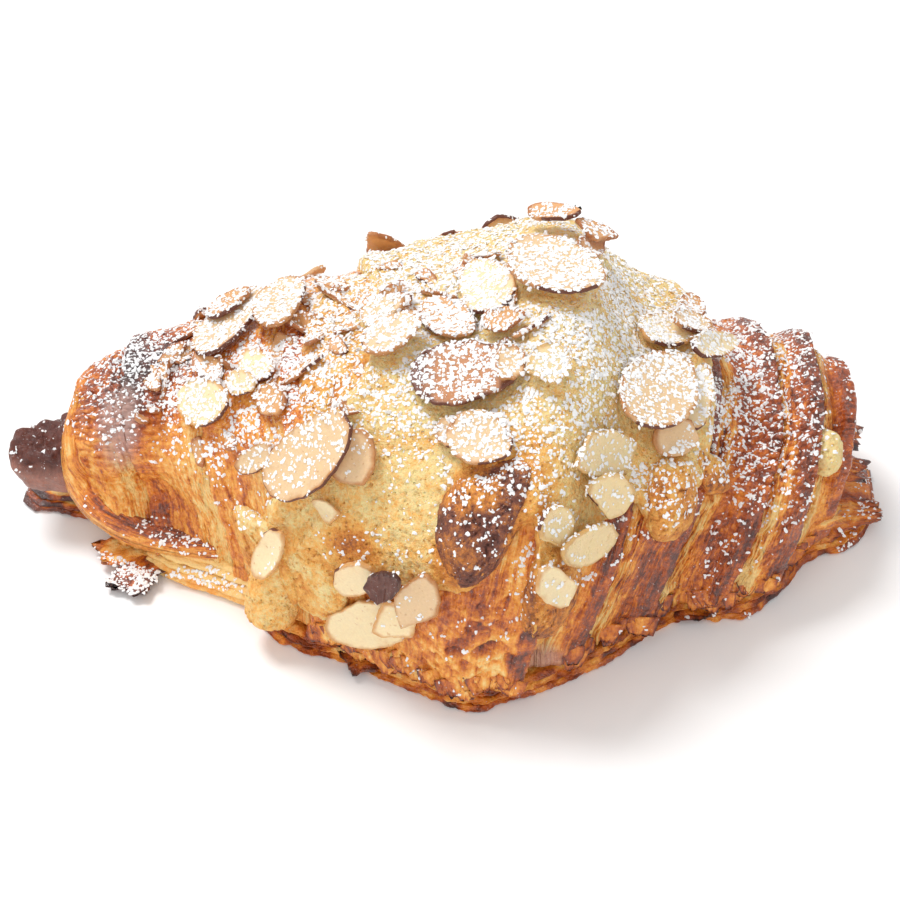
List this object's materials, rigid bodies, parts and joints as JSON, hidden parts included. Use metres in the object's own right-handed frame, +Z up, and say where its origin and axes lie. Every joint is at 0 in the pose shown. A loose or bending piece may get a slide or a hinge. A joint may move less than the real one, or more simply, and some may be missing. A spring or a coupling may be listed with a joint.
{
  "type": "almond croissant",
  "caption": "Twice-baked almond croissant: a wrapped pastry on its cut bottom crust, with almond cream run down its front, sliced almonds over it and a dusting of sugar.",
  "frame": {"origin": "on the surface it rests on, under the middle of its length, on the flat underside of the bottom crust", "axes": "+X along the roll towards its blunt end, -Y towards the front where the cream ran down furthest, +Z up"},
  "size_m": [0.176, 0.1009, 0.069],
  "materials": {
    "crust": "baked golden to dark red-brown, satin",
    "bottom_crust": "baked dark brown, satin",
    "almond_cream": "baked porous cream, dull",
    "filling": "pale yellow, dull",
    "almond": "raw cut almond, dull",
    "almond_toasted": "toasted almond, dull",
    "almond_skin": "dark brown skin, dull"
  },
  "bodies": {
    "root": {"pastry_roll": "crust", "pastry_base": "bottom_crust", "cream_filling": "filling", "cream_topping": "almond_cream", "cream_bead": "filling", "almond_round_left": "almond", "almond_oval_left": "almond", "almond_disc_left": "almond", "almond_bent_left": "almond", "almond_long_left": "almond", "almond_edge_left": "almond", "almond_tan_left": "almond", "almond_small_left": "almond", "almond_under_front": "almond_toasted", "almond_broad_front": "almond", "almond_chip_middle": "almond", "almond_pale_left": "almond", "almond_foot_wide": "almond", "almond_foot_upper": "almond", "almond_foot_low": "almond", "almond_foot_tall": "almond_toasted", "almond_skin_chip": "almond_skin", "almond_toasted": "almond_toasted", "almond_toasted_end": "almond_toasted", "almond_amber_a": "almond_toasted", "almond_crest_a": "almond", "almond_crest_b": "almond", "almond_amber_b": "almond_toasted", "almond_amber_c": "almond_toasted", "almond_peach_b": "almond", "almond_peach_a": "almond", "almond_glassy": "almond", "almond_top_small": "almond", "almond_top_broad": "almond", "almond_top_edge": "almond", "almond_top_rim": "almond", "almond_behind_large": "almond", "almond_under_large": "almond", "almond_upper_right": "almond", "almond_large_right": "almond", "almond_curl_upper": "almond", "almond_curl_lower": "almond", "almond_rim_right": "almond", "almond_lobe_chip": "almond", "almond_grey": "almond", "almond_amber_right": "almond_toasted", "almond_valley_a": "almond", "almond_valley_b": "almond_toasted", "almond_valley_c": "almond", "almond_back_1": "almond", "almond_back_2": "almond", "almond_back_3": "almond_toasted", "almond_back_4": "almond", "almond_back_5": "almond", "almond_back_6": "almond", "almond_back_7": "almond_toasted", "almond_back_8": "almond", "almond_back_9": "almond"}
  },
  "joints": []
}
